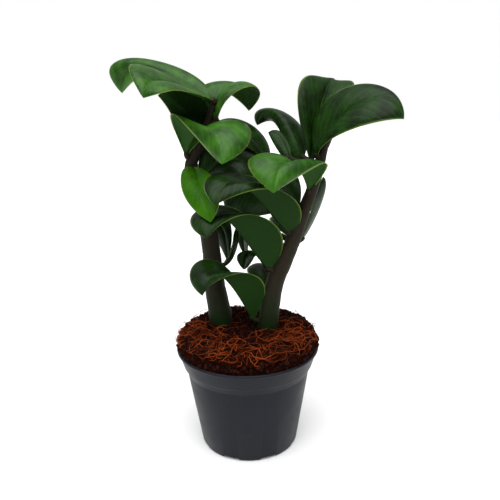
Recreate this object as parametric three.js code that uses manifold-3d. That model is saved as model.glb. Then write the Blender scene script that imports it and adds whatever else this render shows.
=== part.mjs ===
// A dwarf zz plant (Zamioculcas) with two thick upright stems and short, broad, curling leaflets,
// growing out of heaped coir in a plain nursery pot. Units are millimetres, +Z is up, and the origin
// is the middle of the pot's underside. The viewer of the photograph stands towards -Y.
import * as THREE from 'three';
import { mergeVertices } from 'three/addons/utils/BufferGeometryUtils.js';
import Module from 'manifold-3d';

const wasm = await Module();
wasm.setup();

// Pot, moulded in one thin wall
const RIM_RADIUS = 60;
const POT_HEIGHT = 88;
const BASE_RADIUS = 41.5;
const WALL = 1.6;
const COLLAR_HEIGHT = 15.5;
const COLLAR_FOOT_RADIUS = 55;
const COLLAR_STEP = 2.2;
const LIP_HEIGHT = 3;
const LIP_SWELL = 1.4;
const FOOT_HEIGHT = 3;
const FOOT_RING_WIDTH = 6;
const CENTRE_FOOT_RADIUS = 12;
const FLOOR_THICKNESS = 2;
const DRAIN_COUNT = 8;
const DRAIN_RADIUS = 4;
const DRAIN_CIRCLE = 24;
const ARCH_WIDTH = 15;
const BASE_ROUND = 2.2;
const FOOT_DRAFT = 0.5;
const COLLAR_ROUND = 0.7;
const LIP_ROUND = 0.6;
const INNER_ROUND = 1.5;
const INNER_STEP = 2;
const SIDES = 44;

// Coir, heaped above the rim and a little over it. The outline gives the way in from the heap's
// edge and the way up from the rim.
const HEAP_OVERHANG = 1;
const HEAP_OUTLINE = [
  [1.8, 0], [0, 1.6], [0, 4], [1, 6.5], [3, 9], [6, 11], [10, 12.5], [16, 13.4], [24, 14.2], [33, 14.2],
  [43, 14.2], [52, 14.2], [61, 14.2],
];
const CRUMB_RELIEF = 1.1;
const COARSE_SHARE = 0.55;
const CRUMBLY_EDGE = 10;
const CLEARANCE = 0.35;

// Stems: points up each stem's middle, with the radius at each point
const STEM_SIDES = 12;
const STEM_STEPS = 22;
const LEFT_STEM = [
  [-22, 12, 72, 10.4], [-23, 13, 106, 10], [-27, 14, 136, 8.8], [-29, 15, 167, 7.5], [-33, 16, 197, 6.9],
  [-39, 16, 220, 6], [-43, 16, 236, 5.2], [-38, 16, 250, 4.6], [-30, 16, 267, 3.8], [-22, 15, 288, 2.6],
];
const RIGHT_STEM = [
  [15, 0, 72, 8.9], [18, 0, 109, 8.4], [23, 0, 140, 7.6], [31, 0, 160, 6.9], [39, 0, 179, 6.2],
  [47, 0, 201, 5.4], [54, 0, 220, 4.6], [59, 0, 237, 4.3], [62, 0, 251, 4], [67, -3, 263, 3],
];

// Leaflets. Three curves run from the root on the stem to the tip: the midrib, and the left and
// right margins as seen from the root with the waxy upper face on top. Each curve has two handles.
// arch is how far each half of the blade swells between midrib and margin, as a share of its width.
const LEFT_LEAFLETS = [
  // Crown, reaching left and forward
  { root: [-21, 12, 289], rib: [[-64, 0, 303], [-66, -30, 314]], tip: [-69, -36, 294],
    left: [[-44, -20, 300], [-41, -50, 301]], right: [[-77, 20, 318], [-97, -14, 334]], arch: 0.1 },
  // Crown, reaching far left behind the first
  { root: [-22, 16, 287], rib: [[-38, 22, 298], [-97, 50, 342]], tip: [-101, 52, 295],
    left: [[-80, 6, 314], [-82, 30, 310]], right: [[-26, 45, 325], [-148, 72, 340]], arch: 0.1 },
  // Crown, arching right
  { root: [-20, 14, 273], rib: [[-30, 12, 302], [11, 40, 316]], tip: [5, 40, 279],
    left: [[-56, 32, 316], [-12, 54, 300]], right: [[-12, -6, 309], [34, 22, 304]], arch: 0.12 },
  // Front, folding over towards the viewer
  { root: [-46, 12, 246], rib: [[-44, 10, 267], [-12, -26, 288]], tip: [-15, -40, 247],
    left: [[-1, 14, 300], [29, -20, 262]], right: [[-78, 6, 324], [-24, -20, 245]], arch: 0.12 },
  // Right, behind the front one
  { root: [-33, 18, 251], rib: [[-22, 22, 283], [4, 30, 269]], tip: [20, 26, 240],
    left: [[-22, 42, 301], [34, 52, 254]], right: [[5, 4, 257], [-22, 10, 268]], arch: 0.12 },
  // Young yellow-green one low on the left
  { root: [-41, 10, 237], rib: [[-36, -6, 238], [-33, -30, 228]], tip: [-25, -39, 204],
    left: [[-33, -10, 246], [-5, -36, 229]], right: [[-54, 0, 246], [-54, -22, 215]], arch: 0.06 },
  // Upright under the crown
  { root: [-43, 16, 250], rib: [[-32, 24, 266], [-45, 16, 291]], tip: [-66, 14, 294],
    left: [[-7, 40, 286], [-40, 30, 314]], right: [[-51, 12, 264], [-53, 10, 279]], arch: 0.08 },
  // Inner, hanging
  { root: [-30, 16, 191], rib: [[-15, 26, 193], [-16, 36, 161]], tip: [-16, 38, 149],
    left: [[-5, 22, 209], [-11, 30, 168]], right: [[-34, 34, 170], [-30, 44, 185]], arch: 0.1 },
  // Inner, narrow and upright
  { root: [-21, 16, 151], rib: [[-13, 20, 160], [-9, 28, 171]], tip: [-7, 28, 184],
    left: [[-7, 14, 169], [-14, 20, 175]], right: [[-8, 26, 151], [-4, 34, 171]], arch: 0.06 },
  // Inner, middle, arching right
  { root: [-35, 14, 222], rib: [[-25, 20, 248], [7, 20, 250]], tip: [15, 20, 220],
    left: [[-52, 30, 288], [42, 32, 250]], right: [[9, 8, 240], [-6, 8, 214]], arch: 0.12 },
  // Back, middle
  { root: [-35, 18, 204], rib: [[-40, 31, 232], [-27, 66, 250]], tip: [-29, 76, 207],
    left: [[-63, 35, 228], [-53, 68, 245]], right: [[-21, 27, 228], [-4, 64, 245]], arch: 0.12 },
  // Back, under the crown
  { root: [-27, 18, 270], rib: [[-28, 28, 284], [-33, 58, 276]], tip: [-33, 64, 238],
    left: [[-44, 32, 276], [-54, 60, 266]], right: [[-14, 26, 278], [-15, 56, 268]], arch: 0.12 },
];
const RIGHT_LEAFLETS = [
  // Crown, upright at the back
  { root: [53, 4, 240], rib: [[52, 2, 263], [76, 36, 334]], tip: [80, 60, 289],
    left: [[22, -2, 333], [69, 34, 307]], right: [[124, 8, 331], [64, 42, 298]], arch: 0.1 },
  // Crown, reaching far right
  { root: [58, -2, 245], rib: [[49, -4, 265], [109, -24, 315]], tip: [117, -28, 275],
    left: [[34, 20, 299], [121, -8, 321]], right: [[56, -19, 266], [103, -42, 278]], arch: 0.1 },
  // Crown, arching left at the back
  { root: [47, 6, 243], rib: [[38, 14, 284], [14, 38, 289]], tip: [12, 42, 267],
    left: [[24, 6, 222], [45, 26, 287]], right: [[70, 34, 277], [-4, 58, 294]], arch: 0.1 },
  // Crown, small, arching left
  { root: [37, 4, 242], rib: [[36, 6, 251], [31, 16, 265]], tip: [20, 18, 263],
    left: [[33, 0, 237], [24, 12, 255]], right: [[43, 14, 258], [29, 22, 270]], arch: 0.1 },
  // Front, broad, folding over towards the viewer
  { root: [51, -3, 217], rib: [[49, -8, 238], [26, -40, 264]], tip: [21, -50, 227],
    left: [[83, -10, 258], [52, -30, 242]], right: [[48, 4, 256], [-31, -34, 264]], arch: 0.14 },
  // Narrow, close along the right of the stem
  { root: [45, 4, 177], rib: [[51, 10, 180], [74, 16, 222]], tip: [64, 14, 227],
    left: [[56, 0, 208], [56, 2, 218]], right: [[52, 28, 171], [70, 34, 213]], arch: 0.05 },
  // Left, upper, its tip folded over
  { root: [36, -2, 187], rib: [[30, -8, 179], [-6, -30, 266]], tip: [-21, -50, 219],
    left: [[56, -4, 191], [43, -38, 250]], right: [[69, 8, 229], [-63, -18, 258]], arch: 0.1 },
  // Left, middle, its tip folded over
  { root: [20, -3, 154], rib: [[2, -7, 172], [-22, -24, 234]], tip: [-28, -42, 192],
    left: [[53, -4, 192], [-1, -26, 226]], right: [[14, 10, 238], [-75, -12, 207]], arch: 0.1 },
  // Left, lowest, its tip folded over
  { root: [5, -2, 110], rib: [[-5, -7, 132], [-27, -22, 185]], tip: [-34, -33, 144],
    left: [[40, -4, 163], [-22, -22, 165]], right: [[-16, 10, 197], [-67, -8, 158]], arch: 0.1 },
  // Inner, small, low
  { root: [17, 4, 152], rib: [[8, 10, 169], [0, 22, 171]], tip: [-2, 24, 146],
    left: [[6, 4, 177], [8, 14, 153]], right: [[21, 16, 171], [-24, 30, 166]], arch: 0.1 },
  // Inner, small, hanging above it
  { root: [32, 5, 179], rib: [[11, 22, 195], [-8, 36, 186]], tip: [0, 36, 155],
    left: [[-10, 12, 197], [7, 28, 160]], right: [[3, 34, 207], [-19, 44, 173]], arch: 0.06 },
  // Inner, arching left behind the broad front one
  { root: [44, 4, 204], rib: [[35, 26, 225], [-9, 42, 221]], tip: [-15, 42, 192],
    left: [[28, 16, 199], [6, 30, 187]], right: [[62, 30, 262], [-41, 58, 244]], arch: 0.12 },
  // Back, middle
  { root: [40, 4, 177], rib: [[42, 28, 188], [38, 63, 201]], tip: [37, 66, 165],
    left: [[19, 27, 184], [12, 62, 196]], right: [[65, 29, 184], [64, 64, 196]], arch: 0.12 },
  // Back, low
  { root: [21, 4, 126], rib: [[18, 22, 139], [14, 49, 165]], tip: [10, 58, 121],
    left: [[-1, 18, 134], [-7, 45, 160]], right: [[37, 26, 134], [35, 53, 160]], arch: 0.12 },
];

// Blade form: an even leathery thickness, on a short round stalk
const BLADE_ROWS = 10;
const BLADE_COLUMNS = 6;
const BLADE_HALF_THICKNESS = 0.6;
const ROW_CROWDING = 0.05;
const STALK_RADIUS = 1.9;
const STALK_SIDES = 8;
const STALK_RISE = 2;
const STALK_REACH = 4;
const FINE_STEP = 0.001;
const END_MARGIN = 0.02;

// A closed mesh as a solid: shared vertices merged, triangles with no area dropped
function solidOf(geometry) {
  const plain = new THREE.BufferGeometry();
  plain.setAttribute('position', geometry.getAttribute('position').clone());
  plain.setIndex(geometry.getIndex());
  const merged = mergeVertices(plain, 1e-4);
  const index = merged.getIndex().array;
  const triangles = [];
  for (let i = 0; i < index.length; i += 3) {
    const [a, b, c] = [index[i], index[i + 1], index[i + 2]];
    if (a !== b && b !== c && c !== a) triangles.push(a, b, c);
  }
  return new wasm.Manifold(new wasm.Mesh({
    numProp: 3,
    vertProperties: new Float32Array(merged.getAttribute('position').array),
    triVerts: new Uint32Array(triangles),
  }));
}

function geometryOf(solid) {
  const mesh = solid.getMesh();
  const geometry = new THREE.BufferGeometry();
  geometry.setAttribute('position', new THREE.BufferAttribute(new Float32Array(mesh.vertProperties), 3));
  geometry.setIndex(new THREE.BufferAttribute(new Uint32Array(mesh.triVerts), 1));
  geometry.computeVertexNormals();
  return geometry;
}

// A profile of [radius, height] points turned about the Z axis
function turned(profile, sides) {
  const points = profile.map(([radius, height]) => new THREE.Vector2(radius, height));
  return new THREE.LatheGeometry(points, sides).rotateX(Math.PI / 2);
}

// The value at t, from 0 to 1, between values spaced evenly along the way
function between(values, t) {
  const place = t * (values.length - 1);
  const step = Math.min(Math.floor(place), values.length - 2);
  return values[step] + (values[step + 1] - values[step]) * (place - step);
}

// Pot radii: the outer wall under the collar, and the inner wall at a height
const SHOULDER_HEIGHT = POT_HEIGHT - COLLAR_HEIGHT;
const SHOULDER_RADIUS = COLLAR_FOOT_RADIUS - COLLAR_STEP;
const FLOOR_TOP = FOOT_HEIGHT + FLOOR_THICKNESS;
const COLLAR_TOP_RADIUS = RIM_RADIUS - LIP_SWELL;

function innerWallRadius(height) {
  const rise = (height - FLOOR_TOP) / (SHOULDER_HEIGHT - FLOOR_TOP);
  return BASE_RADIUS - WALL + (SHOULDER_RADIUS - BASE_RADIUS) * rise;
}

function makePot() {
  const ringInner = BASE_RADIUS - FOOT_RING_WIDTH;
  const shell = solidOf(turned([
    [0, 0],
    [CENTRE_FOOT_RADIUS, 0],
    [CENTRE_FOOT_RADIUS + FOOT_DRAFT, FOOT_HEIGHT],
    [ringInner, FOOT_HEIGHT],
    [ringInner + FOOT_DRAFT, 0],
    [BASE_RADIUS - BASE_ROUND, 0],
    [BASE_RADIUS - 0.3 * BASE_ROUND, 0.3 * BASE_ROUND],
    [BASE_RADIUS, BASE_ROUND],
    [SHOULDER_RADIUS, SHOULDER_HEIGHT - COLLAR_ROUND],
    [COLLAR_FOOT_RADIUS - COLLAR_ROUND / 2, SHOULDER_HEIGHT],
    [COLLAR_FOOT_RADIUS, SHOULDER_HEIGHT + COLLAR_ROUND],
    [COLLAR_TOP_RADIUS, POT_HEIGHT - LIP_HEIGHT],
    [RIM_RADIUS - LIP_ROUND / 2, POT_HEIGHT - LIP_HEIGHT + LIP_ROUND],
    [RIM_RADIUS, POT_HEIGHT - LIP_HEIGHT / 2],
    [RIM_RADIUS - LIP_ROUND, POT_HEIGHT - LIP_ROUND / 3],
    [COLLAR_TOP_RADIUS - WALL / 2, POT_HEIGHT],
    [COLLAR_TOP_RADIUS - WALL, POT_HEIGHT - LIP_ROUND],
    [COLLAR_FOOT_RADIUS - WALL, SHOULDER_HEIGHT + INNER_STEP],
    [SHOULDER_RADIUS - WALL, SHOULDER_HEIGHT],
    [innerWallRadius(FLOOR_TOP + INNER_ROUND), FLOOR_TOP + INNER_ROUND],
    [innerWallRadius(FLOOR_TOP) - INNER_ROUND, FLOOR_TOP],
    [0, FLOOR_TOP],
  ], SIDES));
  let pot = shell;
  for (let i = 0; i < DRAIN_COUNT; i += 1) {
    const turn = (2 * Math.PI * i) / DRAIN_COUNT;
    const drain = new THREE.CylinderGeometry(DRAIN_RADIUS, DRAIN_RADIUS, 4 * FLOOR_THICKNESS, 16)
      .rotateX(Math.PI / 2)
      .translate(DRAIN_CIRCLE, 0, FLOOR_TOP - FLOOR_THICKNESS / 2)
      .rotateZ(turn);
    const arch = new THREE.BoxGeometry(3 * FOOT_RING_WIDTH, ARCH_WIDTH, 2 * FOOT_HEIGHT)
      .translate(BASE_RADIUS, 0, -0.2)
      .rotateZ(turn + Math.PI / DRAIN_COUNT);
    pot = pot.subtract(solidOf(drain)).subtract(solidOf(arch));
  }
  return pot;
}

// An upright unit cylinder bent along a path, with the radius that radiusAt gives at t
function alongPath(bar, path, radiusAt) {
  const position = bar.getAttribute('position');
  for (let i = 0; i < position.count; i += 1) {
    const t = position.getY(i) + 0.5;
    const middle = path.getPoint(t);
    const along = path.getTangent(t);
    const across = new THREE.Vector3(0, 1, 0).cross(along).normalize();
    const depth = new THREE.Vector3().crossVectors(along, across);
    middle.addScaledVector(across, radiusAt(t) * position.getZ(i));
    middle.addScaledVector(depth, radiusAt(t) * position.getX(i));
    position.setXYZ(i, middle.x, middle.y, middle.z);
  }
  return bar;
}

// The curve up a stem's middle
function stemPath(stem, sink) {
  const middles = stem.map(([x, y, z], i) => new THREE.Vector3(x, y, i === 0 ? z - sink : z));
  return new THREE.CatmullRomCurve3(middles, false, 'catmullrom', 0.5);
}

// A round bar along the stem's points. swell adds to its radius and sinks its foot.
function stemSolid(stem, swell) {
  const path = stemPath(stem, swell);
  const radii = stem.map((point) => point[3] + swell);
  const bar = new THREE.CylinderGeometry(1, 1, 1, STEM_SIDES, STEM_STEPS);
  return solidOf(alongPath(bar, path, (t) => between(radii, t)));
}

// The two faces of a leaflet at t along the midrib and u across it, from -1 to 1 at the left margin
function makeBlade(leaflet) {
  const root = new THREE.Vector3(...leaflet.root);
  const tip = new THREE.Vector3(...leaflet.tip);
  const curve = ([first, second]) => new THREE.CubicBezierCurve3(
    root, new THREE.Vector3(...first), new THREE.Vector3(...second), tip);
  const rib = curve(leaflet.rib);
  const left = curve(leaflet.left);
  const right = curve(leaflet.right);
  const point = (t, u) => {
    const middle = rib.getPoint(t);
    const across = (u > 0 ? left : right).getPoint(t).sub(middle);
    const up = new THREE.Vector3()
      .crossVectors(rib.getTangent(t), left.getPoint(t).sub(right.getPoint(t))).normalize();
    const reach = Math.abs(u);
    const swell = 4 * leaflet.arch * across.length() * reach * (1 - reach);
    return middle.addScaledVector(across, reach).addScaledVector(up, swell);
  };
  const normal = (t, u) => {
    const along = point(t + FINE_STEP, u).sub(point(t - FINE_STEP, u));
    const outward = point(t, u + FINE_STEP).sub(point(t, u - FINE_STEP));
    return along.cross(outward).normalize();
  };
  return (t, u) => {
    const atEnd = t === 0 || t === 1;
    const facing = normal(THREE.MathUtils.clamp(t, END_MARGIN, 1 - END_MARGIN), atEnd ? 0 : u);
    return [1, -1].map((side) => point(t, u).addScaledVector(facing, side * BLADE_HALF_THICKNESS));
  };
}

// A leaflet as a closed sheet, both faces split along the same diagonals
function leafletSolid(leaflet) {
  const blade = makeBlade(leaflet);
  const rows = BLADE_ROWS;
  const columns = BLADE_COLUMNS;
  const vertices = [];
  for (let i = 0; i <= rows; i += 1) {
    const t = i === rows ? 1 : i / rows - ROW_CROWDING * Math.sin((2 * Math.PI * i) / rows);
    for (let j = 0; j <= columns; j += 1) {
      blade(t, (2 * j) / columns - 1).forEach((point) => vertices.push(point.x, point.y, point.z));
    }
  }
  const upper = (i, j) => 2 * (i * (columns + 1) + j);
  const lower = (i, j) => upper(i, j) + 1;
  const index = [];
  const quad = (a, b, c, d) => index.push(a, b, c, a, c, d);
  for (let i = 0; i < rows; i += 1) {
    for (let j = 0; j < columns; j += 1) {
      quad(upper(i, j), upper(i + 1, j), upper(i + 1, j + 1), upper(i, j + 1));
      index.push(lower(i, j), lower(i + 1, j + 1), lower(i + 1, j));
      index.push(lower(i, j), lower(i, j + 1), lower(i + 1, j + 1));
    }
    quad(upper(i, 0), lower(i, 0), lower(i + 1, 0), upper(i + 1, 0));
    quad(upper(i, columns), upper(i + 1, columns), lower(i + 1, columns), lower(i, columns));
  }
  for (let j = 0; j < columns; j += 1) {
    quad(upper(0, j), upper(0, j + 1), lower(0, j + 1), lower(0, j));
    quad(upper(rows, j), lower(rows, j), lower(rows, j + 1), upper(rows, j + 1));
  }
  const sheet = new THREE.BufferGeometry();
  sheet.setAttribute('position', new THREE.Float32BufferAttribute(vertices, 3));
  sheet.setIndex(index);
  return solidOf(sheet);
}

// A short round stalk from the middle of the stem to a leaflet's root
function stalkSolid(stem, leaflet) {
  const root = new THREE.Vector3(...leaflet.root);
  const into = new THREE.Vector3(...leaflet.rib[0]).sub(root).setLength(STALK_REACH);
  const middles = stemPath(stem, 0).getSpacedPoints(8 * STEM_STEPS);
  const drop = (point) => root.distanceTo(point) + Math.abs(root.z - STALK_RISE - point.z);
  const start = middles.reduce((best, point) => (drop(point) < drop(best) ? point : best));
  const path = new THREE.LineCurve3(start, root.add(into));
  const stalk = new THREE.CylinderGeometry(1, 1, 1, STALK_SIDES, 1);
  return solidOf(alongPath(stalk, path, () => STALK_RADIUS));
}

function makeFrond(stem, leaflets) {
  let frond = stemSolid(stem, 0);
  for (const leaflet of leaflets) {
    frond = frond.add(stalkSolid(stem, leaflet)).add(leafletSolid(leaflet));
  }
  return frond;
}

// Crumbs: small waves of several lengths over the heap, in step all the way round
function crumble(x, y) {
  const coarse = Math.sin(x / 5.1 + 1.3) * Math.sin(y / 4.3 + 0.4);
  const fine = Math.sin(x / 1.9 + y / 2.7) * Math.sin(y / 1.7 - x / 3.1 + 2);
  return CRUMB_RELIEF * (COARSE_SHARE * coarse + (1 - COARSE_SHARE) * fine);
}

function makeSoil() {
  const bottom = FLOOR_TOP + CLEARANCE;
  const rest = POT_HEIGHT + CLEARANCE;
  const rimInner = COLLAR_TOP_RADIUS - WALL - CLEARANCE;
  const edge = RIM_RADIUS + HEAP_OVERHANG;
  const heap = turned([
    [0, bottom],
    [innerWallRadius(FLOOR_TOP) - INNER_ROUND - CLEARANCE, bottom],
    [innerWallRadius(FLOOR_TOP + INNER_ROUND) - CLEARANCE, bottom + INNER_ROUND],
    [SHOULDER_RADIUS - WALL - CLEARANCE, SHOULDER_HEIGHT + CLEARANCE],
    [COLLAR_FOOT_RADIUS - WALL - CLEARANCE, SHOULDER_HEIGHT + INNER_STEP + CLEARANCE],
    [rimInner, POT_HEIGHT - LIP_ROUND],
    [rimInner, rest],
    ...HEAP_OUTLINE.map(([inward, rise]) => [edge - inward, rest + rise]),
  ], SIDES);
  const position = heap.getAttribute('position');
  for (let i = 0; i < position.count; i += 1) {
    const [x, y, z] = [position.getX(i), position.getY(i), position.getZ(i)];
    const exposed = THREE.MathUtils.clamp((z - rest - 1) / 4, 0, 1);
    const radius = Math.max(Math.hypot(x, y), 1);
    const slope = radius > edge - CRUMBLY_EDGE ? 1 : 0;
    const bump = exposed * crumble(x, y + z);
    const spread = 1 + (slope * bump) / radius;
    position.setXYZ(i, x * spread, y * spread, z + bump);
  }
  return solidOf(heap)
    .subtract(stemSolid(LEFT_STEM, CLEARANCE))
    .subtract(stemSolid(RIGHT_STEM, CLEARANCE));
}

function meshOf(name, solid, color, roughness) {
  const material = new THREE.MeshStandardMaterial({ color, roughness, metalness: 0 });
  const mesh = new THREE.Mesh(geometryOf(solid), material);
  mesh.name = name;
  return mesh;
}

const plant = new THREE.Group();
plant.add(meshOf('pot', makePot(), '#3a3f45', 0.5));
plant.add(meshOf('soil', makeSoil(), '#5a2a14', 0.95));
plant.add(meshOf('frond_left', makeFrond(LEFT_STEM, LEFT_LEAFLETS), '#2c5e24', 0.35));
plant.add(meshOf('frond_right', makeFrond(RIGHT_STEM, RIGHT_LEAFLETS), '#2c5e24', 0.35));

export default plant;
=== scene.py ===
import functools
import math
import random

import bmesh
import bpy
from mathutils import Euler, Matrix, Vector, noise
from mathutils.bvhtree import BVHTree


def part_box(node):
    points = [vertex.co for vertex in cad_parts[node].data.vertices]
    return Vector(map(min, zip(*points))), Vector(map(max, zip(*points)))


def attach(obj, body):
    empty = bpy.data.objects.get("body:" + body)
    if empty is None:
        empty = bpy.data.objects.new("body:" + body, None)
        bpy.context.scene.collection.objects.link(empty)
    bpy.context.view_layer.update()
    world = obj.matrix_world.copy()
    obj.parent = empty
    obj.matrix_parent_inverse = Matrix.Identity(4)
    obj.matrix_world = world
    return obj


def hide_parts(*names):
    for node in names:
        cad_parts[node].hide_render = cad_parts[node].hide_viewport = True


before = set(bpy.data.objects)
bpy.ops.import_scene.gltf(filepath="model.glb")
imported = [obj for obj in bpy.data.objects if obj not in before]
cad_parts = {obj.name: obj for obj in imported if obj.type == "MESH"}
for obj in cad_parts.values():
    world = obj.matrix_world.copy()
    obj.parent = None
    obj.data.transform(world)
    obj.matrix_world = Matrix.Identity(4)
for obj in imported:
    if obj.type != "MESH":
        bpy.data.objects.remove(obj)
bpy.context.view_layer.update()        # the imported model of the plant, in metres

# Camera: on the height and tilt that the photograph was taken from, a square picture 500 wide.
# The longer side of the film is 36 mm, so 613 picture widths over 500 make a 44 mm lens.
MM = 0.001
EYE = Vector((3.6, -480, 311)) * MM
PITCH_DOWN = math.radians(16.3)
ROLL = math.radians(-1.2)
PICTURE_WIDTH = 500
FOCAL_WIDTH = 613
FILM_WIDTH = 36

ahead = Vector((0, math.cos(PITCH_DOWN), -math.sin(PITCH_DOWN)))
level_right = Vector((1, 0, 0))
level_up = level_right.cross(ahead)
right = level_right * math.cos(ROLL) + level_up * math.sin(ROLL)
up = level_up * math.cos(ROLL) - level_right * math.sin(ROLL)
turn = Matrix((right, up, -ahead)).transposed()
lens = bpy.data.cameras.new("camera")
lens.sensor_width = FILM_WIDTH
lens.lens = FILM_WIDTH * FOCAL_WIDTH / PICTURE_WIDTH
lens.clip_start = 0.01
camera = bpy.data.objects.new("camera", lens)
camera.matrix_world = Matrix.Translation(EYE) @ turn.to_4x4()
bpy.context.scene.collection.objects.link(camera)
bpy.context.scene.camera = camera


# Floor and light: white paper under and behind the plant, a wide soft lamp above it, and a room
# that is bright behind the plant and dim on the viewer's side, so that the leaves keep their depth.
def linear(code):
    """An sRGB hex colour as linear red, green, blue and 1"""
    parts = [int(code[i:i + 2], 16) / 255 for i in (1, 3, 5)]
    return [p / 12.92 if p <= 0.04045 else ((p + 0.055) / 1.055) ** 2.4 for p in parts] + [1]


def add(tree, kind, sockets=None, **settings):
    """Adds a shader node. sockets gives an input a value, or the output that feeds it."""
    made = tree.nodes.new("ShaderNode" + kind)
    for name, value in settings.items():
        setattr(made, name, value)
    for name, value in (sockets or {}).items():
        if isinstance(value, bpy.types.NodeSocket):
            tree.links.new(value, made.inputs[name])
        else:
            made.inputs[name].default_value = value
    return made


def new_finish(name):
    """A material, its node tree and its surface shader"""
    material = bpy.data.materials.new(name)
    material.use_nodes = True
    return material, material.node_tree, material.node_tree.nodes["Principled BSDF"]


def new_piece(name, bm, material, smooth_below=180):
    """An object from a bmesh, smooth except where its faces meet at more than the given angle"""
    mesh = bpy.data.meshes.new(name)
    for face in bm.faces:
        face.smooth = True
    bm.to_mesh(mesh)
    bm.free()
    if smooth_below < 180:
        mesh.set_sharp_from_angle(angle=math.radians(smooth_below))
    mesh.materials.append(material)
    piece = bpy.data.objects.new(name, mesh)
    bpy.context.scene.collection.objects.link(piece)
    return piece


FLOOR_HALF = 3.0
bm = bmesh.new()
bmesh.ops.create_grid(bm, x_segments=1, y_segments=1, size=FLOOR_HALF)
bmesh.ops.translate(bm, verts=bm.verts, vec=(0, 0, -0.05 * MM))
paper, tree, surface = new_finish("white_paper")
surface.inputs["Base Color"].default_value = linear("#f2f2f2")
surface.inputs["Roughness"].default_value = 0.9
surface.inputs["Specular IOR Level"].default_value = 0.1
new_piece("floor", bm, paper)


def soft_light(name, towards, spread, strength):
    """Light from far away that comes from a round patch of sky, spread degrees across"""
    sky = bpy.data.lights.new(name, "SUN")
    sky.angle = math.radians(spread)
    sky.energy = strength
    holder = bpy.data.objects.new(name, sky)
    holder.matrix_world = Vector(towards).to_track_quat("-Z", "Y").to_matrix().to_4x4()
    bpy.context.scene.collection.objects.link(holder)


soft_light("soft_box_above", (0.05, 0.4, -1), 80, 4.6)

ROOM_BRIGHT = 0.5
ROOM_DIM = 0.12
world = bpy.data.worlds.new("studio")
world.use_nodes = True
tree = world.node_tree
tree.nodes.clear()
way = add(tree, "TexCoord").outputs["Generated"]
to_viewer = add(tree, "VectorMath", {0: way, 1: (0, -1, 0)}, operation="DOT_PRODUCT")
level = add(tree, "MapRange", {"Value": to_viewer.outputs["Value"], "From Min": -0.3, "From Max": 0.6,
                               "To Min": ROOM_BRIGHT, "To Max": ROOM_DIM})
room = add(tree, "Background", {"Color": (1, 1, 1, 1), "Strength": level.outputs["Result"]})
backdrop = add(tree, "Background", {"Color": (1, 1, 1, 1), "Strength": 1.0})
seen = add(tree, "LightPath").outputs["Is Camera Ray"]
both = add(tree, "MixShader", {"Fac": seen, 1: room.outputs[0], 2: backdrop.outputs[0]})
add(tree, "OutputWorld", {"Surface": both.outputs[0]})
bpy.context.scene.world = world
bpy.context.scene.view_settings.view_transform = "Standard"
bpy.context.scene.view_settings.look = "None"

# Pot: a thin injection-moulded nursery pot of grey polypropylene, with a rolled lip, a collar that
# lets pots stack, a tapered wall, and a foot ring broken by arches so that water can run away.
pot_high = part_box("pot")[1]
POT_HEIGHT = pot_high.z / MM
RIM_RADIUS = pot_high.x / MM
BASE_RADIUS = 41.5
WALL = 1.6
COLLAR_HEIGHT = 15.5
COLLAR_FOOT_RADIUS = 55
COLLAR_STEP = 2.2
LIP_HEIGHT = 3
LIP_SWELL = 1.4
FOOT_HEIGHT = 3
FOOT_RING_WIDTH = 6
FOOT_DRAFT = 0.5
CENTRE_FOOT_RADIUS = 12
FLOOR_THICKNESS = 2
DRAIN_COUNT = 8
DRAIN_RADIUS = 4
DRAIN_CIRCLE = 24
ARCH_WIDTH = 15
POT_STEPS = 144
SHOULDER_HEIGHT = POT_HEIGHT - COLLAR_HEIGHT
SHOULDER_RADIUS = COLLAR_FOOT_RADIUS - COLLAR_STEP
FLOOR_TOP = FOOT_HEIGHT + FLOOR_THICKNESS
COLLAR_TOP_RADIUS = RIM_RADIUS - LIP_SWELL
BASE_ROUND = 2
ARCH_ROUND = 2.2
WITNESS_LINE_DROP = 5.5
WITNESS_LINE_HALF_WIDTH = 0.6
WITNESS_LINE_DEPTH = 0.18


def turned(profile, steps):
    """A profile of [radius, height] points in millimetres, spun about the Z axis"""
    bm = bmesh.new()
    corners = [bm.verts.new((radius * MM, 0, height * MM)) for radius, height in profile]
    for start, end in zip(corners, corners[1:]):
        bm.edges.new((start, end))
    bmesh.ops.spin(bm, geom=bm.verts[:] + bm.edges[:], axis=(0, 0, 1), cent=(0, 0, 0),
                   angle=2 * math.pi, steps=steps, use_merge=True)
    bmesh.ops.remove_doubles(bm, verts=bm.verts, dist=0.001 * MM)
    bmesh.ops.recalc_face_normals(bm, faces=bm.faces)
    return bm


def wall_radius(height):
    """The outside of the tapered wall"""
    rise = (height - BASE_ROUND) / (SHOULDER_HEIGHT - BASE_ROUND)
    return BASE_RADIUS + (SHOULDER_RADIUS - BASE_RADIUS) * rise


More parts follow.
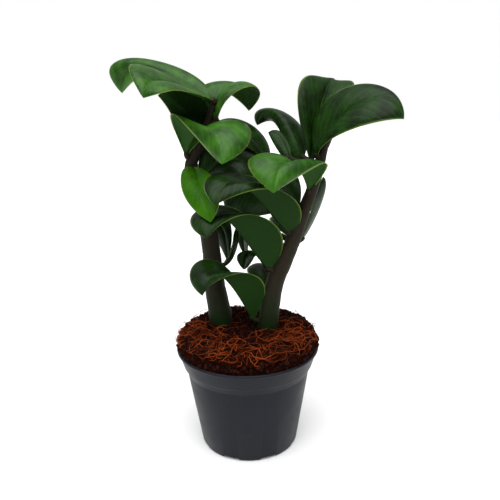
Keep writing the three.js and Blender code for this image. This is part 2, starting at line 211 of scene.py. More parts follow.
line = SHOULDER_HEIGHT - WITNESS_LINE_DROP
line_low, line_high = line - WITNESS_LINE_HALF_WIDTH, line + WITNESS_LINE_HALF_WIDTH
ring_inner = BASE_RADIUS - FOOT_RING_WIDTH
pot_shape = turned([
    (0, 0), (CENTRE_FOOT_RADIUS, 0), (CENTRE_FOOT_RADIUS + FOOT_DRAFT, FOOT_HEIGHT),
    (ring_inner, FOOT_HEIGHT), (ring_inner + FOOT_DRAFT, 0),
    (BASE_RADIUS - 2.2, 0), (BASE_RADIUS - 1.2, 0.25), (BASE_RADIUS - 0.5, 0.9), (BASE_RADIUS, BASE_ROUND),
    (wall_radius(line_low), line_low), (wall_radius(line) - WITNESS_LINE_DEPTH, line),
    (wall_radius(line_high), line_high),
    (SHOULDER_RADIUS, SHOULDER_HEIGHT - 1.2), (SHOULDER_RADIUS + 0.5, SHOULDER_HEIGHT - 0.4),
    (COLLAR_FOOT_RADIUS - 0.8, SHOULDER_HEIGHT), (COLLAR_FOOT_RADIUS - 0.2, SHOULDER_HEIGHT + 0.5),
    (COLLAR_FOOT_RADIUS, SHOULDER_HEIGHT + 1.2),
    (COLLAR_TOP_RADIUS, POT_HEIGHT - LIP_HEIGHT),
    (COLLAR_TOP_RADIUS + 0.8, POT_HEIGHT - LIP_HEIGHT + 0.3),
    (RIM_RADIUS - 0.15, POT_HEIGHT - LIP_HEIGHT + 0.8), (RIM_RADIUS, POT_HEIGHT - LIP_HEIGHT / 2),
    (RIM_RADIUS - 0.25, POT_HEIGHT - 0.6), (RIM_RADIUS - 0.9, POT_HEIGHT - 0.1),
    (COLLAR_TOP_RADIUS - WALL / 2, POT_HEIGHT), (COLLAR_TOP_RADIUS - WALL, POT_HEIGHT - 0.7),
    (COLLAR_FOOT_RADIUS - WALL, SHOULDER_HEIGHT + 2), (SHOULDER_RADIUS - WALL, SHOULDER_HEIGHT),
    (wall_radius(FLOOR_TOP + 1.5) - WALL, FLOOR_TOP + 1.5),
    (wall_radius(FLOOR_TOP) - WALL - 1.5, FLOOR_TOP), (0, FLOOR_TOP),
], POT_STEPS)

# Drain holes through the floor, and arches between the feet, as one cutter
cutter_shape = bmesh.new()
for i in range(DRAIN_COUNT):
    angle = 2 * math.pi * i / DRAIN_COUNT
    bmesh.ops.create_cone(
        cutter_shape, cap_ends=True, segments=32, radius1=DRAIN_RADIUS * MM, radius2=DRAIN_RADIUS * MM,
        depth=4 * FLOOR_THICKNESS * MM,
        matrix=Matrix.Rotation(angle, 4, "Z") @ Matrix.Translation(
            Vector((DRAIN_CIRCLE, 0, FLOOR_TOP - FLOOR_THICKNESS / 2)) * MM))
    arch = bmesh.ops.create_cube(
        cutter_shape, size=1,
        matrix=Matrix.Rotation(angle + math.pi / DRAIN_COUNT, 4, "Z")
        @ Matrix.Translation(Vector((BASE_RADIUS, 0, -0.2)) * MM)
        @ Matrix.Diagonal(Vector((3 * FOOT_RING_WIDTH, ARCH_WIDTH, 2 * FOOT_HEIGHT, 1 / MM)) * MM))
    upper = [e for v in arch["verts"] for e in v.link_edges if min(w.co.z for w in e.verts) > 0]
    along = [e for e in set(upper) if abs(e.calc_length() - 3 * FOOT_RING_WIDTH * MM) < 0.1 * MM]
    bmesh.ops.bevel(cutter_shape, geom=along, offset=ARCH_ROUND * MM, segments=6, profile=0.5,
                    affect="EDGES", material=-1)


# Moulded polypropylene: a fine satin skin with a soft sheen, dulled by dust and dried compost marks
# scattered over the whole pot.
def moulded_polypropylene():
    material, tree, surface = new_finish("moulded_polypropylene")
    place = add(tree, "TexCoord").outputs["Object"]
    cloud = add(tree, "TexNoise", {"Vector": place, "Scale": 1 / (22 * MM), "Detail": 5, "Roughness": 0.6})
    tint = add(tree, "MixRGB", {"Fac": cloud.outputs["Fac"], "Color1": linear("#0a0c14"),
                                "Color2": linear("#12151e")})
    stain = add(tree, "TexNoise", {"Vector": place, "Scale": 1 / (9 * MM), "Detail": 8, "Roughness": 0.7})
    smears = add(tree, "MapRange", {"Value": stain.outputs["Fac"], "From Min": 0.6, "From Max": 0.78,
                                    "To Min": 0, "To Max": 0.4})
    # Specks of pith: one in some of the cells of a loose net, each of its own size
    cells = add(tree, "TexVoronoi", {"Vector": place, "Scale": 1 / (5.5 * MM)})
    lot = add(tree, "SeparateXYZ", {"Vector": cells.outputs["Color"]})
    size = add(tree, "MapRange", {"Value": lot.outputs["X"], "From Min": 0.45, "From Max": 1,
                                  "To Min": 0.02, "To Max": 0.26})
    speck = add(tree, "Math", {0: cells.outputs["Distance"], 1: size.outputs["Result"]},
                operation="LESS_THAN")
    smeared = add(tree, "MixRGB", {"Fac": smears.outputs["Result"], "Color1": tint.outputs["Color"],
                                   "Color2": linear("#3a2620")})
    dirty = add(tree, "MixRGB", {"Fac": speck.outputs[0], "Color1": smeared.outputs["Color"],
                                 "Color2": linear("#24100a")})
    tree.links.new(dirty.outputs["Color"], surface.inputs["Base Color"])
    dull = add(tree, "MapRange", {"Value": cloud.outputs["Fac"], "From Min": 0.3, "From Max": 0.7,
                                  "To Min": 0.34, "To Max": 0.5})
    tree.links.new(dull.outputs["Result"], surface.inputs["Roughness"])
    grain = add(tree, "TexNoise", {"Vector": place, "Scale": 1 / (0.9 * MM), "Detail": 3})
    relief = add(tree, "Bump", {"Height": grain.outputs["Fac"], "Strength": 0.25, "Distance": 0.12 * MM})
    tree.links.new(relief.outputs["Normal"], surface.inputs["Normal"])
    surface.inputs["IOR"].default_value = 1.49
    surface.inputs["Specular IOR Level"].default_value = 0.2
    return material


pot = new_piece("nursery_pot", pot_shape, moulded_polypropylene())
cutter = new_piece("cutter", cutter_shape, pot.data.materials[0])
cut = pot.modifiers.new("cut", "BOOLEAN")
cut.object = cutter
cut.operation = "DIFFERENCE"
cut.solver = "EXACT"
finished = bpy.data.meshes.new_from_object(pot.evaluated_get(bpy.context.evaluated_depsgraph_get()))
pot.modifiers.clear()
pot.data = finished
pot.data.set_sharp_from_angle(angle=math.radians(40))
bpy.data.objects.remove(cutter)
soften = pot.modifiers.new("soften", "BEVEL")
soften.width = 0.25 * MM
soften.segments = 2
soften.limit_method = "ANGLE"
soften.angle_limit = math.radians(50)
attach(pot, "root")
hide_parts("pot")

# Coir: ground coconut husk, heaped above the rim. It is a crumbly reddish-brown mass of pith lumps
# with stiff curved fibres lying over it, some of them over the rim. All of it only lies loose.
HEAP_HEIGHT = 14.5
HEAP_INSET = 1.4
HEAP_CLEARANCE = 0.35
HEAP_STEPS = 300
# The shoulder of the heap, as steps in from its edge and up from the rim
HEAP_SHOULDER = [
    (0.4, 0.8), (0, 1.8), (0, 3), (0, 4.2), (0.2, 5.8), (0.6, 7.4), (1.2, 8.8), (2, 10), (3.2, 11),
    (4.8, 11.8), (6.8, 12.5), (9.2, 13), (12, 13.4), (15, 13.8),
]
TOP_INSET = 17.5
TOP_RING_COUNT = 27
TOP_RING_WIDTH = 1.6
LUMP = 5
LUMP_RISE = 1.5
SWELLING = 17
SWELLING_RISE = 0.9
rest = POT_HEIGHT + HEAP_CLEARANCE
edge = RIM_RADIUS - HEAP_INSET
heap_profile = [(0, SHOULDER_HEIGHT), (SHOULDER_RADIUS - 3, SHOULDER_HEIGHT)]
heap_profile += [(COLLAR_TOP_RADIUS - WALL - 1, rest - 2), (RIM_RADIUS - 1.2, rest)]
heap_profile += [(edge - inset, rest + rise) for inset, rise in HEAP_SHOULDER]
heap_profile += [(edge - TOP_INSET - TOP_RING_WIDTH * i, POT_HEIGHT + HEAP_HEIGHT)
                 for i in range(TOP_RING_COUNT)]
heap_profile += [(0, POT_HEIGHT + HEAP_HEIGHT)]
heap_shape = turned(heap_profile, HEAP_STEPS)
heap_shape.normal_update()
for vert in heap_shape.verts:
    shown = min(max((vert.co.z / MM - rest) / 2, 0), 1)
    lumps = noise.fractal(vert.co / (LUMP * MM), 0.9, 2.1, 5, noise_basis="PERLIN_ORIGINAL")
    broad = noise.noise(vert.co / (SWELLING * MM))
    vert.co += vert.normal * shown * (LUMP_RISE * lumps + SWELLING_RISE * broad) * MM
heap_tree = BVHTree.FromBMesh(heap_shape)


# Coconut pith and fibre: matt, dry and very uneven, from nearly black in the gaps to rusty orange where the
# light catches a fibre. The near-black in the gaps of the pith is painted shade, laid on the low parts of
# its bumps.
def coir_pith():
    material, tree, surface = new_finish("coir_pith")
    place = add(tree, "TexCoord").outputs["Object"]
    crumbs = add(tree, "TexNoise", {"Vector": place, "Scale": 1 / (2.6 * MM), "Detail": 6, "Roughness": 0.7})
    # The dark end of this blend is painted shade: the lower a spot lies in the pith's bumps, the darker it
    # is painted
    deep = add(tree, "MapRange", {"Value": crumbs.outputs["Fac"], "From Min": 0.4, "From Max": 0.66})
    rust_and_gap_shade = add(tree, "MixRGB", {"Fac": deep.outputs["Result"], "Color1": linear("#080201"),
                                "Color2": linear("#2c0c04")})
    tree.links.new(rust_and_gap_shade.outputs["Color"], surface.inputs["Base Color"])
    relief = add(tree, "Bump", {"Height": crumbs.outputs["Fac"], "Strength": 0.9, "Distance": 1.2 * MM})
    tree.links.new(relief.outputs["Normal"], surface.inputs["Normal"])
    surface.inputs["Roughness"].default_value = 0.95
    surface.inputs["Specular IOR Level"].default_value = 0.02
    return material


def coir_fibre(name, dark, light):
    """The first number of the UV map is drawn once for each fibre or crumb, and picks its colour"""
    material, tree, surface = new_finish(name)
    own = add(tree, "SeparateXYZ", {"Vector": add(tree, "TexCoord").outputs["UV"]})
    tone = add(tree, "MixRGB", {"Fac": own.outputs["X"], "Color1": linear(dark), "Color2": linear(light)})
    tree.links.new(tone.outputs["Color"], surface.inputs["Base Color"])
    surface.inputs["Roughness"].default_value = 0.7
    surface.inputs["Specular IOR Level"].default_value = 0.06
    return material


heap = new_piece("coir_heap", heap_shape, coir_pith())
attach(heap, "root")
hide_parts("soil")

# Crumbs: small lumps of pith dropped on the heap, a quarter of them on its steep edge
CRUMB_COUNT = 2600
EDGE_SHARE = 0.25
CRUMB_SIZES = (0.5, 1.5)
DROP = 40
SIDE_RADIUS = 70
draw = random.Random(41)
crumb_shape = bmesh.new()
crumb_map = crumb_shape.loops.layers.uv.new("own")
for _ in range(CRUMB_COUNT):
    radius = RIM_RADIUS * math.sqrt(draw.uniform(0.0, 1.0))
    angle = draw.uniform(0, 2 * math.pi)
    above = Vector((radius * math.cos(angle), radius * math.sin(angle), POT_HEIGHT + DROP)) * MM
    spot = heap_tree.ray_cast(above, Vector((0, 0, -1)))[0]
    if draw.random() < EDGE_SHARE:
        height = rest + draw.uniform(1, 8)
        beside = Vector((SIDE_RADIUS * math.cos(angle), SIDE_RADIUS * math.sin(angle), height)) * MM
        spot = heap_tree.find_nearest(beside)[0]
    if spot is None or spot.z < rest * MM:
        continue
    size = draw.uniform(*CRUMB_SIZES) ** 1.8 * MM
    stretch = Matrix.Diagonal((draw.uniform(0.7, 1.3), draw.uniform(0.6, 1.1), draw.uniform(0.5, 0.9), 1))
    spin = Euler([draw.uniform(0, math.pi) for _ in range(3)]).to_matrix().to_4x4()
    made = bmesh.ops.create_icosphere(crumb_shape, subdivisions=1, radius=size,
                                      matrix=Matrix.Translation(spot) @ spin @ stretch)
    tone = draw.random() ** 1.6
    for face in {f for v in made["verts"] for f in v.link_faces}:
        for loop in face.loops:
            loop[crumb_map].uv = (tone, 0)
crumbs = new_piece("coir_crumbs", crumb_shape, coir_fibre("coir_crumb", "#0a0201", "#2c0d04"), 20)
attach(crumbs, "root")
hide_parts("soil")


def wrapped(bm, rows, columns, place):
    """A grid of faces whose corners go to place(u, v), with u and v from 0 to 1"""
    made = bmesh.ops.create_grid(bm, x_segments=columns, y_segments=rows, size=0.5, calc_uvs=True)
    for vert in made["verts"]:
        vert.co = place(vert.co.x + 0.5, vert.co.y + 0.5)
    return made["verts"]


def tube_round(points, radii):
    """place(u, v) for a round tube along points, u round it and v along it, closed at both ends"""
    last = len(points) - 1
    side = Vector((0.31, 0.2, 0.93))

    @functools.lru_cache(maxsize=None)
    def ring(step):
        before = points[max(step - 1, 0)]
        after = points[min(step + 1, last)]
        along = (after - before).normalized()
        across = along.cross(side).normalized()
        return across, along.cross(across)

    def place(u, v):
        step = min(int(round(v * (last + 2))) - 1, last)
        if step < 0 or v > 1 - 0.5 / (last + 2):
            return points[0 if step < 0 else last].copy()
        across, deep = ring(step)
        angle = 2 * math.pi * u
        return points[step] + (across * math.cos(angle) + deep * math.sin(angle)) * radii[step]

    return place


# Fibres: stiff and gently curved, each lying over the heap in a low hop. Most are on the front half,
# and some have a loose end that stands up.
FIBRE_COUNT = 380
FIBRE_STEPS = 12
FRONT_SHARE = 0.7
LOOSE_SHARE = 0.18
FIBRE_LENGTHS = (6, 32)
FIBRE_RADII = (0.12, 0.28)
fibre_shape = bmesh.new()
fibre_map = fibre_shape.loops.layers.uv.new("own")
for number in range(FIBRE_COUNT):
    radius = RIM_RADIUS * math.sqrt(draw.uniform(0.02, 0.97))
    angle = draw.uniform(0, 2 * math.pi)
    if draw.random() < FRONT_SHARE:
        angle = draw.uniform(-math.pi, 0)
        radius = RIM_RADIUS * math.sqrt(draw.uniform(0.2, 0.97))
    spot = Vector((radius * math.cos(angle), radius * math.sin(angle), POT_HEIGHT + HEAP_HEIGHT)) * MM
    length = draw.uniform(*FIBRE_LENGTHS) * MM
    loose_end = draw.uniform(1.5, 6) * MM if draw.random() < LOOSE_SHARE else 0
    heading = draw.uniform(0, 2 * math.pi)
    curl = draw.uniform(-1.7, 1.7)
    hop = draw.uniform(0.2, 2.6) * MM * (length / (20 * MM))
    thick = draw.uniform(*FIBRE_RADII) * MM
    points = []
    for step in range(FIBRE_STEPS + 1):
        share = step / FIBRE_STEPS
        ground, normal, _, _ = heap_tree.find_nearest(spot)
        lift = hop * math.sin(math.pi * share) + 0.35 * MM - 0.9 * MM * abs(2 * share - 1) ** 4
        lift += loose_end * share ** 3
        points.append(ground + normal * lift)
        bearing = heading + curl * share + 0.5 * math.sin(7 * share + number)
        spot = ground + Vector((math.cos(bearing), math.sin(bearing), 0)) * length / FIBRE_STEPS
    radii = [thick * (1 - 0.5 * abs(2 * step / FIBRE_STEPS - 1) ** 3) for step in range(FIBRE_STEPS + 1)]
    verts = wrapped(fibre_shape, FIBRE_STEPS + 2, 5, tube_round(points, radii))
    tone = draw.random()
    for face in {f for v in verts for f in v.link_faces}:
        for loop in face.loops:
            loop[fibre_map].uv = (tone, 0)
bmesh.ops.remove_doubles(fibre_shape, verts=fibre_shape.verts, dist=0.002 * MM)
bmesh.ops.recalc_face_normals(fibre_shape, faces=fibre_shape.faces)
fibres = new_piece("coir_fibres", fibre_shape, coir_fibre("coir_fibre", "#2c0b03", "#9a4418"))
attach(fibres, "root")
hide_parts("soil")

# Stems: two thick upright stems with a dry, brownish bark over green, ringed with old leaf scars.
# They widen into the coir. Each is points up its middle, in millimetres, with the radius at each.
LEFT_STEM = [
    (-22, 12, 72, 10.4), (-23, 13, 106, 10), (-27, 14, 136, 8.8), (-29, 15, 167, 7.5), (-33, 16, 197, 6.9),
    (-39, 16, 220, 6), (-43, 16, 236, 5.2), (-38, 16, 250, 4.6), (-30, 16, 267, 3.8), (-22, 15, 288, 2.6),
]
RIGHT_STEM = [
    (15, 0, 72, 8.9), (18, 0, 109, 8.4), (23, 0, 140, 7.6), (31, 0, 160, 6.9), (39, 0, 179, 6.2),
    (47, 0, 201, 5.4), (54, 0, 220, 4.6), (59, 0, 237, 4.3), (62, 0, 251, 4), (67, -3, 263, 3),
]
STEM_ROWS = 160
STEM_COLUMNS = 36
STEM_TIP = 0.015
SCAR_SPACING = 13
SCAR_DEPTH = 0.28
SCAR_SPREAD = 0.35
KNOBBLE_SIZE = 9
KNOBBLE_RISE = 0.25


def between(values, t):
    """The value at t, from 0 to 1, between values spaced evenly along the way"""
    place = t * (len(values) - 1)
    step = min(int(place), len(values) - 2)
    return values[step] + (values[step + 1] - values[step]) * (place - step)


def through(points, t):
    """The point at t, from 0 to 1, on a smooth curve through the points"""
    place = t * (len(points) - 1)
    step = min(int(place), len(points) - 2)
    share = place - step
    p1, p2 = points[step], points[step + 1]
    p0 = points[step - 1] if step > 0 else 2 * p1 - p2
    p3 = points[step + 2] if step + 2 < len(points) else 2 * p2 - p1
    slope1, slope2 = (p2 - p0) / 2, (p3 - p1) / 2
    return (p1 * (2 * share ** 3 - 3 * share ** 2 + 1) + slope1 * (share ** 3 - 2 * share ** 2 + share)
            + p2 * (3 * share ** 2 - 2 * share ** 3) + slope2 * (share ** 3 - share ** 2))


def stem_middle(stem, t):
    return through([Vector(point[:3]) for point in stem], t) * MM


def stem_bark():
    material, tree, surface = new_finish("stem_bark")
    place = add(tree, "TexCoord").outputs["Object"]
    drawn = add(tree, "Mapping", {"Vector": place, "Scale": (1, 1, 0.16)})
    streak = add(tree, "TexNoise", {"Vector": drawn.outputs["Vector"], "Scale": 1 / (1.6 * MM), "Detail": 6,
                                    "Roughness": 0.65})
    blotch = add(tree, "TexNoise", {"Vector": place, "Scale": 1 / (11 * MM), "Detail": 4})
    brown = add(tree, "MixRGB", {"Fac": streak.outputs["Fac"], "Color1": linear("#0f0a06"),
                                 "Color2": linear("#2e2317")})
    height = add(tree, "SeparateXYZ", {"Vector": place}).outputs["Z"]
    low = add(tree, "MapRange", {"Value": height, "From Min": 112 * MM, "From Max": 150 * MM,
                                 "To Min": 1.5, "To Max": 0.3})
    green_share = add(tree, "Math", {0: blotch.outputs["Fac"], 1: low.outputs["Result"]},
                      operation="MULTIPLY")
    skin = add(tree, "MixRGB", {"Fac": green_share.outputs[0], "Color1": brown.outputs["Color"],
                                "Color2": linear("#0c2204")})
    tree.links.new(skin.outputs["Color"], surface.inputs["Base Color"])
    relief = add(tree, "Bump", {"Height": streak.outputs["Fac"], "Strength": 0.5, "Distance": 0.5 * MM})
    tree.links.new(relief.outputs["Normal"], surface.inputs["Normal"])
    surface.inputs["Roughness"].default_value = 0.6
    surface.inputs["Specular IOR Level"].default_value = 0.15
    return material


bark = stem_bark()


def make_stem(stem):
    """A stem's skin, round at its top, with a fine groove at each leaf scar"""
    radii = [point[3] for point in stem]
    points = []
    sizes = []
    rows = STEM_ROWS - 2
    for row in range(rows + 1):
        t = row / rows
        middle = stem_middle(stem, t)
        height = middle.z / MM
        from_scar = (height + 3 * math.sin(height / 9)) % SCAR_SPACING - SCAR_SPACING / 2
        ring = math.exp(-from_scar ** 2 / SCAR_SPREAD)
        knobble = KNOBBLE_RISE * noise.noise(middle / (KNOBBLE_SIZE * MM))
        cap = math.sqrt(max(1 - (max(t - 1 + STEM_TIP, 0) / STEM_TIP) ** 2, 0.02))
        points.append(middle)
        sizes.append((between(radii, t) * cap - SCAR_DEPTH * ring + knobble) * MM)
    bm = bmesh.new()
    wrapped(bm, STEM_ROWS, STEM_COLUMNS, tube_round(points, sizes))
    return bm


# Leaflets: thick, waxy, deep green blades on the stems, cupped along the midrib and curled down at
# the tip. They grow from the stalks, with a thin pale margin and a duller, yellower underside.
LEFT_LEAFLETS = {
    "crown_left_front": dict(
        root=(-21, 12, 289), rib=[(-64, 0, 303), (-66, -30, 314)], tip=(-69, -36, 294),
        left=[(-44, -20, 300), (-41, -50, 301)], right=[(-77, 20, 318), (-97, -14, 334)], arch=0.1),
    "crown_left_far": dict(
        root=(-22, 16, 287), rib=[(-38, 22, 298), (-97, 50, 342)], tip=(-101, 52, 295),
        left=[(-80, 6, 314), (-82, 30, 310)], right=[(-26, 45, 325), (-148, 72, 340)], arch=0.1),
    "crown_arching_right": dict(
        root=(-20, 14, 273), rib=[(-30, 12, 302), (11, 40, 316)], tip=(5, 40, 279),
        left=[(-56, 32, 316), (-12, 54, 300)], right=[(-12, -6, 309), (34, 22, 304)], arch=0.12),
    "front_drooping": dict(
        root=(-46, 12, 246), rib=[(-44, 10, 267), (-12, -26, 288)], tip=(-15, -40, 247),
        left=[(-1, 14, 300), (29, -20, 262)], right=[(-78, 6, 324), (-24, -20, 245)], arch=0.12),
    "right_of_front": dict(
        root=(-33, 18, 251), rib=[(-22, 22, 283), (4, 30, 269)], tip=(20, 26, 240),
        left=[(-22, 42, 301), (34, 52, 254)], right=[(5, 4, 257), (-22, 10, 268)], arch=0.12),
    "young": dict(
        root=(-41, 10, 237), rib=[(-36, -6, 238), (-33, -30, 228)], tip=(-25, -39, 204),
        left=[(-33, -10, 246), (-5, -36, 229)], right=[(-54, 0, 246), (-54, -22, 215)], arch=0.06),
    "under_crown": dict(
        root=(-43, 16, 250), rib=[(-32, 24, 266), (-45, 16, 291)], tip=(-66, 14, 294),
        left=[(-7, 40, 286), (-40, 30, 314)], right=[(-51, 12, 264), (-53, 10, 279)], arch=0.08),
    "inner_low": dict(
        root=(-30, 16, 191), rib=[(-15, 26, 193), (-16, 36, 161)], tip=(-16, 38, 149),
        left=[(-5, 22, 209), (-11, 30, 168)], right=[(-34, 34, 170), (-30, 44, 185)], arch=0.1),
    "inner_narrow": dict(
        root=(-21, 16, 151), rib=[(-13, 20, 160), (-9, 28, 171)], tip=(-7, 28, 184),
        left=[(-7, 14, 169), (-14, 20, 175)], right=[(-8, 26, 151), (-4, 34, 171)], arch=0.06),
    "inner_middle": dict(
        root=(-35, 14, 222), rib=[(-25, 20, 248), (7, 20, 250)], tip=(15, 20, 220),
        left=[(-52, 30, 288), (42, 32, 250)], right=[(9, 8, 240), (-6, 8, 214)], arch=0.12),
    "back_middle": dict(
        root=(-35, 18, 204), rib=[(-40, 31, 232), (-27, 66, 250)], tip=(-29, 76, 207),
        left=[(-63, 35, 228), (-53, 68, 245)], right=[(-21, 27, 228), (-4, 64, 245)], arch=0.12),
    "back_under_crown": dict(
        root=(-27, 18, 270), rib=[(-28, 28, 284), (-33, 58, 276)], tip=(-33, 64, 238),
        left=[(-44, 32, 276), (-54, 60, 266)], right=[(-14, 26, 278), (-15, 56, 268)], arch=0.12),
}
RIGHT_LEAFLETS = {
    "crown_upright": dict(
        root=(53, 4, 240), rib=[(52, 2, 263), (76, 36, 334)], tip=(80, 60, 289),
        left=[(22, -2, 333), (69, 34, 307)], right=[(124, 8, 331), (64, 42, 298)], arch=0.1),
    "crown_right": dict(
        root=(58, -2, 245), rib=[(49, -4, 265), (109, -24, 315)], tip=(117, -28, 275),
        left=[(34, 20, 299), (121, -8, 321)], right=[(56, -19, 266), (103, -42, 278)], arch=0.1),
    "crown_arching_left": dict(
        root=(47, 6, 243), rib=[(38, 14, 284), (14, 38, 289)], tip=(12, 42, 267),
        left=[(24, 6, 222), (45, 26, 287)], right=[(70, 34, 277), (-4, 58, 294)], arch=0.1),
    "crown_small": dict(
        root=(37, 4, 242), rib=[(36, 6, 251), (31, 16, 265)], tip=(20, 18, 263),
        left=[(33, 0, 237), (24, 12, 255)], right=[(43, 14, 258), (29, 22, 270)], arch=0.1),
    "front_broad": dict(
        root=(51, -3, 217), rib=[(49, -8, 238), (26, -40, 264)], tip=(21, -50, 227),
        left=[(83, -10, 258), (52, -30, 242)], right=[(48, 4, 256), (-31, -34, 264)], arch=0.14),
    "right_narrow": dict(
        root=(45, 4, 177), rib=[(51, 10, 180), (74, 16, 222)], tip=(64, 14, 227),
        left=[(56, 0, 208), (56, 2, 218)], right=[(52, 28, 171), (70, 34, 213)], arch=0.05),
    "left_upper": dict(
        root=(36, -2, 187), rib=[(30, -8, 179), (-6, -30, 266)], tip=(-21, -50, 219),
        left=[(56, -4, 191), (43, -38, 250)], right=[(69, 8, 229), (-63, -18, 258)], arch=0.1),
    "left_middle": dict(
        root=(20, -3, 154), rib=[(2, -7, 172), (-22, -24, 234)], tip=(-28, -42, 192),
        left=[(53, -4, 192), (-1, -26, 226)], right=[(14, 10, 238), (-75, -12, 207)], arch=0.1),
    "left_lowest": dict(
        root=(5, -2, 110), rib=[(-5, -7, 132), (-27, -22, 185)], tip=(-34, -33, 144),
        left=[(40, -4, 163), (-22, -22, 165)], right=[(-16, 10, 197), (-67, -8, 158)], arch=0.1),
    "inner_small_low": dict(
        root=(17, 4, 152), rib=[(8, 10, 169), (0, 22, 171)], tip=(-2, 24, 146),
        left=[(6, 4, 177), (8, 14, 153)], right=[(21, 16, 171), (-24, 30, 166)], arch=0.1),
    "inner_small": dict(
        root=(32, 5, 179), rib=[(11, 22, 195), (-8, 36, 186)], tip=(0, 36, 155),
        left=[(-10, 12, 197), (7, 28, 160)], right=[(3, 34, 207), (-19, 44, 173)], arch=0.06),
    "inner_arching_left": dict(
        root=(44, 4, 204), rib=[(35, 26, 225), (-9, 42, 221)], tip=(-15, 42, 192),
        left=[(28, 16, 199), (6, 30, 187)], right=[(62, 30, 262), (-41, 58, 244)], arch=0.12),
    "back_middle": dict(
        root=(40, 4, 177), rib=[(42, 28, 188), (38, 63, 201)], tip=(37, 66, 165),
        left=[(19, 27, 184), (12, 62, 196)], right=[(65, 29, 184), (64, 64, 196)], arch=0.12),
    "back_low": dict(
        root=(21, 4, 126), rib=[(18, 22, 139), (14, 49, 165)], tip=(10, 58, 121),
        left=[(-1, 18, 134), (-7, 45, 160)], right=[(37, 26, 134), (35, 53, 160)], arch=0.12),
}
BLADE_ROWS = 64
BLADE_COLUMNS = 52
BLADE_HALF_THICKNESS = 0.6
ROWS_AT_ENDS = 0.04
COLUMNS_AT_RIB = 1.25
MARGIN_ROUND = 7
MARGIN_WAVE = 0.35
GROOVE_WIDTH = 1.3
GROOVE_DEPTH = 0.3
RIB_HEIGHT = 0.5
FINE_STEP = 0.001
END_MARGIN = 0.02


def bezier(points, t):
    p0, p1, p2, p3 = points
    s = 1 - t
    return p0 * s ** 3 + p1 * 3 * s * s * t + p2 * 3 * s * t * t + p3 * t ** 3


def blade_surface(leaflet, phase):
    """place(u, v) for a leaflet: v along it, and u round it, over the upper face and back under"""
    root, tip = Vector(leaflet["root"]), Vector(leaflet["tip"])
    rib, left, right = ([root, *(Vector(point) for point in leaflet[line]), tip]
                        for line in ("rib", "left", "right"))

    def middle_face(t, out):
        """The middle of the blade's thickness, with out from -1 to 1 at the left margin"""
        middle = bezier(rib, t)
        across = bezier(left if out > 0 else right, t) - middle
        along = bezier(rib, t + FINE_STEP) - bezier(rib, t - FINE_STEP)
        rise = along.cross(bezier(left, t) - bezier(right, t)).normalized()
        reach = abs(out)
        swell = 4 * leaflet["arch"] * across.length * reach * (1 - reach)
        return middle + across * reach + rise * swell, across.length * reach

    @functools.lru_cache(maxsize=None)
    def facing(t, out):
        inner = min(max(t, END_MARGIN), 1 - END_MARGIN)
        share = 0 if t in (0, 1) else out
        along = middle_face(inner + FINE_STEP, share)[0] - middle_face(inner - FINE_STEP, share)[0]
        outward = middle_face(inner, share + FINE_STEP)[0] - middle_face(inner, share - FINE_STEP)[0]
        return along.cross(outward).normalized()

    def place(u, v):
        t = v - ROWS_AT_ENDS * math.sin(2 * math.pi * v) if 0 < v < 1 - 1e-6 else round(v)
        share = 4 * u - 1 if u < 0.5 else 3 - 4 * u
        out = math.copysign(abs(share) ** COLUMNS_AT_RIB, share)
        point, distance = middle_face(t, out)
        ends = min(60 * t * (1 - t), 1) ** 0.5
        depth = BLADE_HALF_THICKNESS * ends * max(1 - abs(out) ** MARGIN_ROUND, 0) ** 0.5
        groove = math.exp(-(distance / GROOVE_WIDTH) ** 2) * ends
        wave = MARGIN_WAVE * abs(out) ** 3 * math.sin(10 * t + phase + out) * math.sin(math.pi * t)
        offset = depth - GROOVE_DEPTH * groove if u < 0.5 else -depth - RIB_HEIGHT * groove * (1 - t)
        return (point + facing(t, out) * (offset + wave)) * MM

    return place


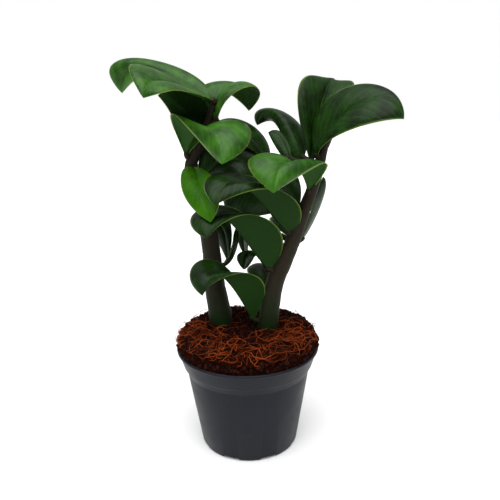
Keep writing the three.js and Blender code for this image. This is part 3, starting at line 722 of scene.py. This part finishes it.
# Leaf skin: a thick waxy cuticle over dark green, with broad soft highlights. The UV map runs
# round the blade in its first number and along it in its second.
def waxy_leaf(name, top_dark, top_light, under, margin, gloss):
    material, tree, surface = new_finish(name)
    coordinates = add(tree, "TexCoord")
    place = coordinates.outputs["Object"]
    own = add(tree, "SeparateXYZ", {"Vector": coordinates.outputs["UV"]})
    below = add(tree, "Math", {0: own.outputs["X"], 1: 0.5}, operation="GREATER_THAN")
    folded = add(tree, "Math", {0: own.outputs["X"], 1: 0.5}, operation="PINGPONG")
    offset = add(tree, "Math", {0: folded.outputs[0], 1: 0.25}, operation="SUBTRACT")
    from_rib = add(tree, "Math", {0: offset.outputs[0]}, operation="ABSOLUTE")
    cloud = add(tree, "TexNoise", {"Vector": place, "Scale": 1 / (14 * MM), "Detail": 4, "Roughness": 0.55})
    spread = add(tree, "MapRange", {"Value": cloud.outputs["Fac"], "From Min": 0.35, "From Max": 0.65})
    top = add(tree, "MixRGB", {"Fac": spread.outputs["Result"], "Color1": linear(top_dark),
                               "Color2": linear(top_light)})
    # Side veins leave the midrib forwards, about 4 mm apart
    ahead_part = add(tree, "Math", {0: from_rib.outputs[0], 1: -1.1, 2: own.outputs["Y"]},
                     operation="MULTIPLY_ADD")
    wobble = add(tree, "TexNoise", {"Vector": place, "Scale": 1 / (18 * MM), "Detail": 1})
    bent = add(tree, "Math", {0: wobble.outputs["Fac"], 1: 0.10, 2: ahead_part.outputs[0]},
               operation="MULTIPLY_ADD")
    beat = add(tree, "Math", {0: bent.outputs[0], 1: 2 * math.pi * 13}, operation="MULTIPLY")
    wave = add(tree, "Math", {0: beat.outputs[0]}, operation="SINE")
    vein = add(tree, "MapRange", {"Value": wave.outputs[0], "From Min": 0.75, "From Max": 1.0})
    veined = add(tree, "MixRGB", {"Fac": add(tree, "Math", {0: vein.outputs["Result"], 1: 0.05},
                                             operation="MULTIPLY").outputs[0],
                                  "Color1": top.outputs["Color"], "Color2": linear(margin)})
    both = add(tree, "MixRGB", {"Fac": below.outputs[0], "Color1": veined.outputs["Color"],
                                "Color2": linear(under)})
    near_edge = add(tree, "MapRange", {"Value": from_rib.outputs[0], "From Min": 0.236, "From Max": 0.248,
                                       "To Min": 0, "To Max": 0.8})
    edged = add(tree, "MixRGB", {"Fac": near_edge.outputs["Result"], "Color1": both.outputs["Color"],
                                 "Color2": linear(margin)})
    tree.links.new(edged.outputs["Color"], surface.inputs["Base Color"])
    satin = add(tree, "MapRange", {"Value": below.outputs[0], "To Min": 0.38, "To Max": 0.75})
    tree.links.new(satin.outputs["Result"], surface.inputs["Roughness"])
    puckers = add(tree, "TexNoise", {"Vector": place, "Scale": 1 / (7 * MM), "Detail": 2})
    swell = add(tree, "Math", {0: wave.outputs[0], 1: -0.05, 2: puckers.outputs["Fac"]},
                operation="MULTIPLY_ADD")
    relief = add(tree, "Bump", {"Height": swell.outputs[0], "Strength": 0.5, "Distance": 0.8 * MM})
    tree.links.new(relief.outputs["Normal"], surface.inputs["Normal"])
    surface.inputs["IOR"].default_value = 1.45
    surface.inputs["Specular IOR Level"].default_value = gloss
    return material


# Lit and shaded copies of one leaf skin: the lighter copy, on the leaflets that catch the most light, is
# painted light, and the darker copy, on the rest, is painted shade. The young leaflet has its own yellower
# green.
painted_shade_leaf = waxy_leaf("waxy_leaf_painted_shade", "#081a02", "#153606", "#133004", "#6c8832", 0.17)
painted_light_leaf = waxy_leaf("waxy_leaf_painted_light", "#163a05", "#2f600c", "#1c4206", "#8aa648", 0.24)
young_leaf = waxy_leaf("waxy_young_leaf", "#1e4a02", "#306202", "#265602", "#88a030", 0.1)
PAINTED_LIGHT_ONES = ("crown_left_front", "crown_left_far", "crown_arching_right", "front_drooping", "front_broad")

# Growing together: each leaflet is set on its stem by a short swollen stalk that leaves the stem a
# little below the leaflet and runs a few millimetres into the blade. Stalks and stem are one skin.
FRONDS = (("left", LEFT_STEM, LEFT_LEAFLETS), ("right", RIGHT_STEM, RIGHT_LEAFLETS))
STALK_RADIUS = 1.9
STALK_SWELL = 0.25
STALK_RISE = 2
STALK_REACH = 4
STALK_STEPS = 10
STALK_SIDES = 16
for side_name, stem, leaflets in FRONDS:
    trunk_shape = make_stem(stem)
    middles = [stem_middle(stem, row / STEM_ROWS) for row in range(STEM_ROWS + 1)]
    for number, (leaf_name, leaflet) in enumerate(leaflets.items()):
        blade_shape = bmesh.new()
        blade_shape.loops.layers.uv.new("round_and_along")
        wrapped(blade_shape, BLADE_ROWS, BLADE_COLUMNS, blade_surface(leaflet, 1.7 * number))
        bmesh.ops.remove_doubles(blade_shape, verts=blade_shape.verts, dist=0.01 * MM)
        bmesh.ops.recalc_face_normals(blade_shape, faces=blade_shape.faces)
        # The lighter copy, painted light, goes on the listed leaflets, and the darker copy, painted shade,
        # on all the others
        skin = painted_light_leaf if leaf_name in PAINTED_LIGHT_ONES else painted_shade_leaf
        if leaf_name == "young":
            skin = young_leaf
        blade = new_piece(f"leaflet_{side_name}_{leaf_name}", blade_shape, skin)
        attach(blade, "root")
        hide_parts("frond_" + side_name)
        root = Vector(leaflet["root"]) * MM
        target = root.z - STALK_RISE * MM
        start = min(middles, key=lambda p: (root - p).length + abs(target - p.z))
        away = (Vector(leaflet["rib"][0]) * MM - root).normalized()
        bend = root - away * STALK_RISE * MM
        end = root + away * STALK_REACH * MM
        points = []
        radii = []
        for step in range(STALK_STEPS + 1):
            share = step / STALK_STEPS
            points.append(start * (1 - share) ** 2 + bend * 2 * share * (1 - share) + end * share ** 2)
            radii.append((STALK_RADIUS * (1 + STALK_SWELL * math.sin(math.pi * share))) * MM)
        wrapped(trunk_shape, STALK_STEPS + 2, STALK_SIDES, tube_round(points, radii))
    bmesh.ops.remove_doubles(trunk_shape, verts=trunk_shape.verts, dist=0.01 * MM)
    bmesh.ops.recalc_face_normals(trunk_shape, faces=trunk_shape.faces)
    trunk = new_piece("stem_" + side_name, trunk_shape, bark)
    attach(trunk, "root")
    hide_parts("frond_" + side_name)
